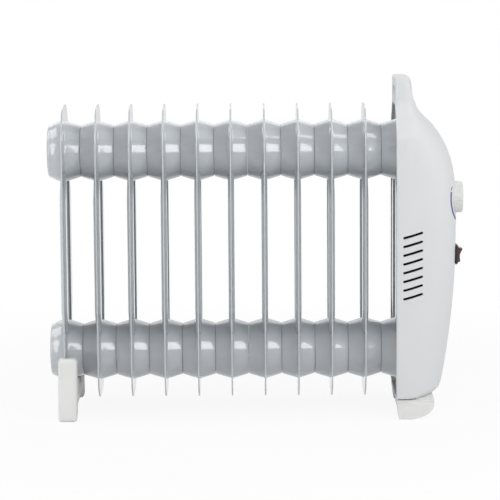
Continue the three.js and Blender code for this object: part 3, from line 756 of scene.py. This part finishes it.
# A slot with round ends
def stadium(x, z, length, thick, tilt, segments=8):
    end = length / 2 - thick / 2
    points = []
    for turnBase, sign in ((-90, 1), (90, -1)):
        for k in range(segments + 1):
            angle = math.radians(tilt + turnBase + 180 * k / segments)
            u = x + sign * end * math.cos(math.radians(tilt)) + thick / 2 * math.cos(angle)
            v = z + sign * end * math.sin(math.radians(tilt)) + thick / 2 * math.sin(angle)
            points.append((u, v))
    return points


ventGrowth = Growth("ventRow", {
    "Slot": "Object", "Count": "Int", "Pitch": "Float", "Width": "Float", "Finish": "Material",
})
down = ventGrowth.along("Z", 0 - ventGrowth.given("Pitch"))
across = ventGrowth.along("Y", ventGrowth.given("Width"))
column = ventGrowth.add("GeometryNodeMeshLine", {}, {"Count": ventGrowth.given("Count"), "Offset": down})
row = ventGrowth.onPoints(column, ventGrowth.shapeOf("Slot"))
pair = ventGrowth.add("GeometryNodeMeshLine", {}, {"Count": 2, "Offset": across})
ventGrowth.finishWith(ventGrowth.onPoints(pair, row))


def ventTool():
    slotBlank = sideFrom(
        "slotBlank",
        stadium(lastFin + vent["middle"], vent["top"], vent["length"], vent["slot"], vent["tilt"]),
        -housing["width"] / 2 - 6, -housing["width"] / 2 + 10,
    )
    tool = ventGrowth.grow("ventTool", {
        "Slot": slotBlank, "Count": vent["count"], "Pitch": vent["pitch"] * metre,
        "Width": (housing["width"] - 4) * metre, "Finish": paints["housing_plastic"].material,
    })
    clear(slotBlank)
    return tool


# Takes a fin's room out of a piece that holds it
def makeRoomForFin(piece, x0, x1):
    tall = finTall + finRoom
    outline = roundedRect(finHalf + finRoom, finMiddle - tall, finMiddle + tall, fin["corner"] + finRoom, 16)
    combine(piece, plateFrom("finTool", outline, x0, x1))


def makeHousing():
    h = housing
    rounds = (h["rimRound"], h["topRound"], h["bottomRound"])
    shell = housingBody("radiator_housing", h["bottom"], h["top"], 0, h["rear"], *rounds)
    floor = h["bottom"] + h["wall"]
    plate, out, inside = lastFin + h["plateFront"], lastFin + beyond, lastFin + 40
    cavity = housingBody("cavityTool", floor, h["cavityTop"], h["wall"], h["rear"] + h["wall"])
    for y, z in plateScrews:
        combine(cavity, rod("post", plate + h["platePostGap"], out, h["post"], y, z, 32))
    for y in footScrews:
        combine(cavity, upright("post", lastFin + h["footPlace"], y, 0, h["bottom"] + h["footPost"], h["post"]))
    knobPlace = (0, knob["height"])
    seat = lastFin + knob["seat"]
    combine(cavity, rod("boss", seat - h["wall"], out, knob["boss"], *knobPlace))
    tall, wide, high = switch["padTall"], switch["padHalf"], switch["height"]
    combine(cavity, block("pad", (lastFin + switch["padStart"], -wide, high - tall), (out, wide, high + tall)))
    combine(shell, cavity)
    behind = housingBody("behindTool", floor, h["rearTop"], h["wall"], h["rear"] - 1.3)
    combine(behind, block("keep", (lastFin - 20, -99, 0), (lastFin + 0.4, 99, 400)), "INTERSECT")
    combine(shell, behind)
    combine(shell, gripTool())
    combine(shell, ventTool())
    combine(shell, rod("seatTool", seat, out, knob["seatRadius"], *knobPlace, 96))
    combine(shell, rod("bushTool", inside, out, knob["bush"], *knobPlace, 48))
    tall, wide = switch["holeTall"], switch["holeHalf"]
    combine(shell, block("holeTool", (inside, -wide, high - tall), (out, wide, high + tall)))
    glandHole = stadium(lastFin + gland["x"], gland["z"], gland["hole"], gland["hole"] - sharp, 0, 16)
    combine(shell, sideFrom("glandTool", glandHole, h["width"] / 2 - 16, h["width"] / 2 + 4))
    for y, z in plateScrews:
        combine(shell, rod("screwTool", lastFin, plate + 7, h["screwHole"], y, z, 24))
    for y in footScrews:
        top = h["bottom"] + h["footPost"] - 2
        combine(shell, upright("screwTool", lastFin + h["footPlace"], y, 0, top, h["screwHole"], 24))
    makeRoomForFin(shell, lastFin - 9, lastFin + 1.3)
    soften(shell, 28)
    return hand(shell, "heater", "housing_plastic", "control_housing")


makeHousing()
printDial(paints["housing_plastic"], lastFin + dial["start"], knob["height"])
print("housing moulded")


# The knob: fluted side, bevelled and slightly domed face, and a pointer
def makeKnob():
    low, high = boxOf("temperature_knob")
    k = knob
    length, outer, height, bevelled = high.x - low.x, k["radius"], k["height"], k["bevel"]

    def radiusAt(along, radius, angle):  # the flutes fade out at both ends of the side
        depth = min(max((along - low.x - 2.0) / 0.8, 0), 1) * min(max((high.x - 1.6 - along) / 1.0, 0), 1)
        wave = abs(math.sin(angle * k["flutes"] / 2))
        return radius - k["fluteDepth"] * depth * (1 - wave) ** 1.5

    # From the hollow's floor round its rim, up the side and over the bevel to the middle of the face
    floor = length - k["wall"]
    profile = [(floor, 0.4), (floor, outer - 3.6), (0.3, outer - 2.0), (0, outer - 2.0)]
    profile += [(0, outer - 0.25), (0.25, outer), (1.6, outer), (2.0, outer - 0.1), (2.8, outer - 0.15)]
    profile += [(length - 2.8 + 0.4 * i, outer - 0.55 - 0.12 * i) for i in range(3)]
    for i in range(7):
        a = math.pi / 2 * i / 6
        place = length - bevelled * (1 - math.sin(a)) - 0.35
        profile.append((place, outer - 0.85 - bevelled * (1 - math.cos(a))))
    profile += [(length - 0.2, 12), (length - 0.1, 9), (length - 0.03, 5), (length, 0.4)]
    cap = turn("radiator_knob", [(low.x + x, r) for x, r in profile], 0, height, 240, radiusAt)
    p = k["pointer"]
    groove = roundedRect(p["width"] / 2, height + p["start"], height + p["end"], 0.6)
    combine(cap, plateFrom("pointerTool", groove, high.x - p["depth"], high.x + 2))
    printPointer(paints["knob_plastic"], p, high.x, height)
    combine(cap, rod("hub", low.x + 4.6, high.x - 1.6, k["hub"], 0, height, 48), "UNION")
    combine(cap, rod("bore", low.x + 3, high.x - 2.6, k["bore"], 0, height, 32))
    soften(cap, 40)
    return hand(cap, "knob", "knob_plastic", "temperature_knob")


makeKnob()

# The rocker switch
bezel = {
    "half": 7.7, "tall": 11, "thick": 3, "wellHalf": 5.2, "wellTall": 8.4, "wellDeep": 8.8,
    "caseHalf": 6.2, "caseTall": 9.4, "tabs": (-7, 0, 7), "tabHalf": 2.4, "tabThick": 0.8,
}
rocker = {"half": 7.9, "width": 9.6, "crown": 5.6, "dip": 3.9, "tilt": 10}


def makeSwitch():
    low, high = boxOf("switch_body")
    b, middle = bezel, switch["height"]
    start = high.x - b["thick"]
    # The bezel's levels: place, how far each is drawn in, and corner radius
    levels = [(start, 0, 2.0), (start + 0.7, 0, 2.0), (start + 1.5, 0.5, 1.8), (start + 2.3, 1.2, 1.5)]
    levels += [(high.x - 0.25, 1.75, 1.2), (high.x, 2.05, 1.0)]
    rings = []
    for x, inset, corner in levels:
        tall = b["tall"] - inset
        outline = roundedRect(b["half"] - inset, middle - tall, middle + tall, corner, 6)
        rings.append([(x, u, v) for u, v in outline])
    frameRing = stackRings("radiator_switch", rings)
    wide, tall = b["caseHalf"], b["caseTall"]
    body = block("case", (low.x + 7, -wide, middle - tall), (start + 0.5, wide, middle + tall))
    combine(frameRing, body, "UNION")
    wide, thick = b["tabHalf"], b["tabThick"] / 2
    for z in b["tabs"]:
        tab = block("tab", (low.x, -wide, middle + z - thick), (low.x + 8, wide, middle + z + thick))
        combine(frameRing, tab, "UNION")
    pivot = joints["rocker_tilt"]["pos_m"][0] / metre
    well = roundedRect(b["wellHalf"], middle - b["wellTall"], middle + b["wellTall"], 0.8, 4)
    combine(frameRing, plateFrom("well", well, pivot - b["wellDeep"], high.x + 2))
    soften(frameRing, 26)
    return hand(frameRing, "heater", "black_plastic", "switch_body")


def makeRocker():
    pivot = Vector(joints["rocker_tilt"]["pos_m"]) / metre
    r = rocker
    half, crown = r["half"], r["crown"]
    nose = [(crown - 1.2, half - 0.1), (crown - 0.4, half - 0.35), (crown, half - 1.0)]
    outline = []
    for k in range(25):
        a = math.pi / 2 + math.pi * k / 24
        outline.append((half * math.cos(a), half * math.sin(a)))
    outline += [(u, -v) for u, v in nose]
    for k in range(1, 12):
        t = -1 + 2 * k / 12
        outline.append((r["dip"] + (crown - r["dip"]) * abs(t) ** 1.3, t * (half - 1.0)))
    outline += nose[::-1]
    c, s = math.cos(math.radians(r["tilt"])), math.sin(math.radians(r["tilt"]))
    placed = [(pivot.x + u * c + v * s, pivot.z - u * s + v * c) for u, v in outline]
    body = sideFrom("radiator_rocker", placed, -r["width"] / 2, r["width"] / 2)
    bevel(body, 0.5, 3, 60)
    soften(body, 30)
    return hand(body, "rocker", "rocker_red", "rocker")


makeSwitch()
makeRocker()
print("controls made")

# The feet
rearFoot = {
    "length": 20.2, "offset": 3.4, "halfSpan": 76, "legWidth": 17, "arch": 13.2, "top": 67, "edge": 3.6,
    "cradle": 3.4, "pocket": 11, "toe": 5.6,  # room round the header, depth of the pockets, corner at the floor
}
frontFoot = {
    "halfSpan": 70, "flat": 12.4, "length": 41, "rake": 3.2, "arch": 8, "legWidth": 24, "edge": 1.8,
    "band": 4.4, "bandInset": 9.6, "gap": 1.1, "gapFrom": 52, "corner": 13, "headHole": 3.8, "headDeep": 9,
}


def rearFootOutline():
    f = rearFoot
    span, top, toe = f["halfSpan"], f["top"], f["toe"]
    cradle = fin["crest"] + f["cradle"]
    foot = span - f["legWidth"]
    # Across, up, fillet: the arch, then round the leg and its shoulder to the cradle
    corners = [(-foot + 7, f["arch"], 6), (foot - 7, f["arch"], 6), (foot, 0, toe), (span, 0, toe)]
    corners += [(span - 5, 26, 20), (66, 46, 20), (63.2, top, 6), (47.4, top, 6), (43.5, 42, 14), (0, 20, 0)]
    right = [p for p in filleted(corners)[:-1] if p[0] >= 0]
    arc = []
    for k in range(17):
        a = 0.82 * (1 - k / 8)
        arc.append((cradle * math.sin(a), lowHeader - cradle * math.cos(a)))
    return right + arc + [(-u, v) for u, v in reversed(right)]


def makeRearFoot():
    f = rearFoot
    x0 = firstFin + f["offset"] - f["length"] / 2
    x1 = x0 + f["length"]
    foot = pillow("radiator_rear_foot", rearFootOutline(), x0, x1, f["edge"], 7)
    corners = [(70.6, 4, 4), (66.6, 25, 12), (62, 42, 12), (59.8, 61, 4)]
    pocket = filleted(corners + [(51, 61, 4), (47.4, 44, 10), (52, 22, 14), (62.4, 4, 3)])
    for side in (-1, 1):
        outline = [(u * side, v) for u, v in pocket][::side]
        combine(foot, plateFrom("pocketTool", outline, x1 - f["pocket"], x1 + 2))
    makeRoomForFin(foot, firstFin - 1.2, firstFin + 1.2)
    soften(foot, 40)
    return hand(foot, "heater", "foot_plastic", "rear_foot")


def makeFrontFoot():
    f = frontFoot
    top = boxOf("front_foot")[1].z
    tip, back, out = f["length"] - f["rake"], lastFin - 20, lastFin + beyond
    under = [(f["flat"], 0, 0)]  # the underside curls up from its flat to the tip
    for k in range(1, 17):
        t = k / 16
        u = f["flat"] * (1 - t) ** 2 + (f["length"] - 9) * 2 * t * (1 - t) + (f["length"] - 3.8) * t * t
        under.append((u, 3.0 * 2 * t * (1 - t) + 13.4 * t * t, 0))
    outline = filleted([(-f["rake"], top, 0.5), (-0.8, 0, 0.5)] + under + [(tip, top, 0.8)], 5)
    span, corner = f["halfSpan"], f["corner"]
    foot = sideFrom("radiator_front_foot", [(lastFin + u, v) for u, v in outline], -span, span)
    tip += lastFin
    plan = filleted([(back, -span, 0), (tip, -span, corner), (tip, span, corner), (back, span, 0)], 10)
    combine(foot, stackRings("keep", [[(u, v, z) for u, v in plan] for z in (-5, 40)]), "INTERSECT")
    band = span - f["bandInset"]
    steps = [("gap", f["gapFrom"], beyond, f["gap"]), ("band", band, band + 20, f["band"])]
    for side in (-1, 1):
        for name, start, end, drop in steps:
            first, last = sorted((start * side, end * side))
            combine(foot, block(name + "Tool", (back, first, top - drop), (out, last, top + 2)))
    bevel(foot, f["edge"], 4, 60)
    inner = span - f["legWidth"]
    arch = filleted([(-inner, -1, 0), (-inner + 8, f["arch"], 4), (inner - 8, f["arch"], 4), (inner, -1, 0)])
    combine(foot, plateFrom("archTool", arch, back, out))
    place = lastFin + housing["footPlace"]
    for y in footScrews:
        combine(foot, upright("screwTool", place, y, -1, top + 1, housing["screwHole"], 24))
        combine(foot, upright("headTool", place, y, -1, f["headDeep"], f["headHole"], 40))
    makeRoomForFin(foot, back, lastFin + 1.3)
    soften(foot, 40)
    return hand(foot, "heater", "foot_plastic", "front_foot")


makeRearFoot()
makeFrontFoot()
print("feet made")

# Screws, grown on their places
screw = {
    "head": 3.2, "headThick": 2.0, "shank": 1.6, "thread": 0.8, "threadDeep": 0.3,
    "slot": 0.7, "slotLong": 3.4, "slotDeep": 1.0,
}
screwGrowth = Growth("screwSet", {"Screw": "Object", "Places": "Object", "Finish": "Material"})
spots = screwGrowth.add("GeometryNodeMeshToPoints", {}, {"Mesh": screwGrowth.shapeOf("Places")})
screwGrowth.finishWith(screwGrowth.onPoints(spots, screwGrowth.shapeOf("Screw")))


# A pan-head screw pointing along +X from the underside of its head, with a crossed recess and a thread
def screwBlank(length):
    s = screw
    face, head, shank = -s["headThick"], s["head"], s["shank"]
    profile = [(face, 0.2), (face + 0.05, 1.4), (face + 0.35, 2.5), (face + 0.9, head - 0.1)]
    profile += [(-0.5, head), (0, head - 0.1), (0, shank)]
    for i in range(int((length - 1) / s["thread"])):
        x = 0.5 + i * s["thread"]
        profile += [(x, shank - s["threadDeep"]), (x + s["thread"] / 2, shank)]
    profile += [(length, 0.9), (length + 0.05, 0.1)]
    blank = turn("screwBlank", profile, sides=20)
    long, thin = s["slotLong"] / 2, s["slot"] / 2
    for wide, tall in ((thin, long), (long, thin)):
        combine(blank, block("recess", (face - 1, -wide, -tall), (face + s["slotDeep"], wide, tall)))
    return blank


def makeScrews(name, upwards, nodes):
    boxes = [boxOf(node) for node in nodes]
    span = [b - a for a, b in zip(*boxes[0])]
    thick = screw["headThick"]
    places = []
    for low, high in boxes:
        x, y, z = [(a + b) / 2 for a, b in zip(low, high)]
        places.append((x, y, low.z + thick - 0.3) if upwards else (low.x + thick, y, z))
    blank = screwBlank(span[2] - 2.0 if upwards else span[0] - 2.3)
    if upwards:
        blank.data.transform(Matrix.Rotation(-math.pi / 2, 4, "Y"))
    spots = build(name + "Places", places, [])
    piece = screwGrowth.grow(name, {"Screw": blank, "Places": spots, "Finish": paints["steel"].material})
    clear(blank, spots)
    soften(piece, 40)
    return hand(piece, "heater", "steel", *nodes)


makeScrews("radiator_plate_screws", False, ["housing_screw_" + str(i) for i in range(1, 5)])
makeScrews("radiator_foot_screws", True, ["foot_screw_1", "foot_screw_2"])


# The gland: a black grommet with a rounded lip, on the far side
def makeGland():
    low, high = boxOf("cord_gland")
    lip = (high.x - low.x) / 2
    profile = [(low.y, 3.8), (low.y, 6.2), (low.y + 0.5, 6.6), (low.y + 7.0, 6.6), (low.y + 7.3, lip)]
    for k in range(7):
        a = math.pi / 2 * k / 6
        profile.append((high.y - 3.1 + 3.1 * math.sin(a), lip - 2.6 + 2.6 * math.cos(a)))
    profile += [(high.y, 4.9), (high.y - 0.4, 4.2), (high.y - 1.2, 3.8)]
    x, z = (low.x + high.x) / 2, (low.z + high.z) / 2
    sides, count = 56, len(profile)
    points = [(x + u, along, z + v) for along, radius in profile for u, v in circle(radius, sides)]
    faces = []
    for level in range(count):
        for i in range(sides):
            a, b = level * sides + i, level * sides + (i + 1) % sides
            up = (level + 1) % count * sides - level * sides  # the last ring joins the first
            faces.append((a, b, b + up, a + up))
    piece = outwards(build("radiator_gland", points, faces))
    soften(piece, 40)
    return hand(piece, "heater", "black_plastic", "cord_gland")


makeGland()
print("screws and gland made")

# The inner pieces keep their own shape and get their finish
finishes = {
    # The mounting plate is painted near-black: painted shade seen through the vent slots
    "black_steel": ["mounting_plate"],
    "steel": ["heating_element", "element_tab_live", "element_tab_neutral", "thermostat_nut"],
    "shield_sheet": ["heat_shield"],
    "brass": ["element_flange", "filler_plug", "thermostat_shaft"],
    "gasket_rubber": ["flange_gasket"],
    "black_plastic": ["thermal_cutout"],
    "cream_plastic": ["thermostat", "terminal_block"],
}
for slot, nodes in finishes.items():
    for node in nodes:
        mesh = frame["nodes"][node].data
        mesh.materials.clear()
        mesh.materials.append(paints[slot].material)

# Floor, surroundings, lights and camera
stage = {
    "floorSize": 14, "floorShare": 0.1, "floorFade": (0.35, 0.75),
    "floorFinish": {"Base Color": (0.9, 0.9, 0.9, 1), "Roughness": 0.9, "Specular IOR Level": 0.1},
    "skyLow": 0.045, "skyHigh": 0.18, "mirrored": 0.75, "aim": (-0.0062, 0.0, 0.1758), "lampAim": (0, 0, 0.19),
    "distance": 3.0, "elevation": 8.5, "focal": 2740, "frameSize": 500, "sensor": 36, "roll": -0.4,
}


# The plain surroundings are white to the eye and in glossy reflections, and light the object much less
def shownWhite(tree):
    direct = tree.add("ShaderNodeLightPath", take="Is Camera Ray")
    mirrored = Wire(tree, direct.socket.node.outputs["Is Glossy Ray"])
    return direct + mirrored * stage["mirrored"]


def makeFloor():
    size = stage["floorSize"] / 2 / metre
    corners = [(-size, -size, 0), (size, -size, 0), (size, size, 0), (-size, size, 0)]
    floor = build("floor", corners, [(0, 1, 2, 3)])
    material = bpy.data.materials.new("paleFloor")
    material.use_nodes = True
    tree = Tree(material.node_tree)
    shader = tree.nodes["Principled BSDF"]
    for socket, value in stage["floorFinish"].items():
        shader.inputs[socket].default_value = value
    bright = tree.add("ShaderNodeEmission", {}, {"Color": (1, 1, 1, 1), "Strength": 1.0})
    seen = shownWhite(tree)
    place = tree.add("ShaderNodeTexCoord", take="Object")
    reach = tree.add("ShaderNodeVectorMath", {"operation": "LENGTH"}, {0: place}, "Value")
    near, far = stage["floorFade"]  # the shadow fades out over this distance
    sockets = {"Value": reach, "From Min": near, "From Max": far, "To Min": stage["floorShare"], "To Max": 0.0}
    shown = tree.add("ShaderNodeMapRange", {}, sockets)
    sockets = {0: seen * (1 - shown), 1: Wire(tree, shader.outputs[0]), 2: bright}
    mixed = tree.add("ShaderNodeMixShader", {}, sockets)
    tree.join(mixed, tree.nodes["Material Output"].inputs["Surface"])
    floor.data.materials.append(material)


def makeSky():
    world = bpy.data.worlds.new("studio")
    bpy.context.scene.world = world
    world.use_nodes = True
    tree = Tree(world.node_tree)
    place = tree.add("ShaderNodeTexCoord", take="Generated")
    split = tree.add("ShaderNodeSeparateXYZ", {}, {"Vector": place}, "Z")
    height = tree.add("ShaderNodeMapRange", {}, {"Value": split, "From Min": -0.25, "From Max": 0.9})
    glow = height * (stage["skyHigh"] - stage["skyLow"]) + stage["skyLow"]
    seen = shownWhite(tree)
    strength = glow * (1 - seen) + seen
    tree.join(strength, tree.nodes["Background"].inputs["Strength"])
    tree.nodes["Background"].inputs["Color"].default_value = (1, 1, 1, 1)


lamps = {  # azimuth from the camera's side, elevation, distance, size across and up, power
    "keySoftbox": (32, 16, 1.9, 0.42, 0.95, 6.8),
    "frontPanel": (0, 30, 2.0, 1.5, 0.5, 9),
    "topSoftbox": (10, 74, 1.7, 1.6, 1.2, 2.5),
    "highPanel": (80, 46, 2.0, 1.3, 0.8, 11.5),
    "leftSoftbox": (-62, 12, 2.0, 0.7, 1.2, 8.8),
    "leftPanel": (-100, 40, 2.0, 1.3, 1.2, 12),
    "rightPanel": (96, 10, 2.1, 1.2, 1.4, 5),
    "backPanel": (180, 30, 2.2, 2.0, 1.3, 5),
}


def makeLamp(name, azimuth, elevation, distance, across, tall, power):
    a, e = math.radians(azimuth), math.radians(elevation)
    towards = Vector((math.sin(a) * math.cos(e), -math.cos(a) * math.cos(e), math.sin(e)))
    light = bpy.data.lights.new(name, "AREA")
    light.shape = "RECTANGLE"
    light.size = across
    light.size_y = tall
    light.energy = power
    lamp = bpy.data.objects.new(name, light)
    lamp.location = Vector(stage["lampAim"]) + towards * distance
    lamp.rotation_euler = towards.to_track_quat("Z", "Y").to_euler()
    bpy.context.scene.collection.objects.link(lamp)


def makeCamera():
    camera = bpy.data.objects.new("camera", bpy.data.cameras.new("camera"))
    e = math.radians(stage["elevation"])
    back = Vector((0, -math.cos(e), math.sin(e)))
    camera.location = Vector(stage["aim"]) + back * stage["distance"]
    roll = Matrix.Rotation(math.radians(stage["roll"]), 3, "Z")
    camera.rotation_euler = (back.to_track_quat("Z", "Y").to_matrix() @ roll).to_euler()
    camera.data.sensor_width = stage["sensor"]
    camera.data.lens = stage["focal"] * stage["sensor"] / stage["frameSize"]
    camera.data.clip_end = 60
    bpy.context.scene.collection.objects.link(camera)
    bpy.context.scene.camera = camera


makeFloor()
makeSky()
for name, settings in lamps.items():
    makeLamp(name, *settings)
makeCamera()
bpy.context.scene.view_settings.view_transform = "Standard"
print("studio set")
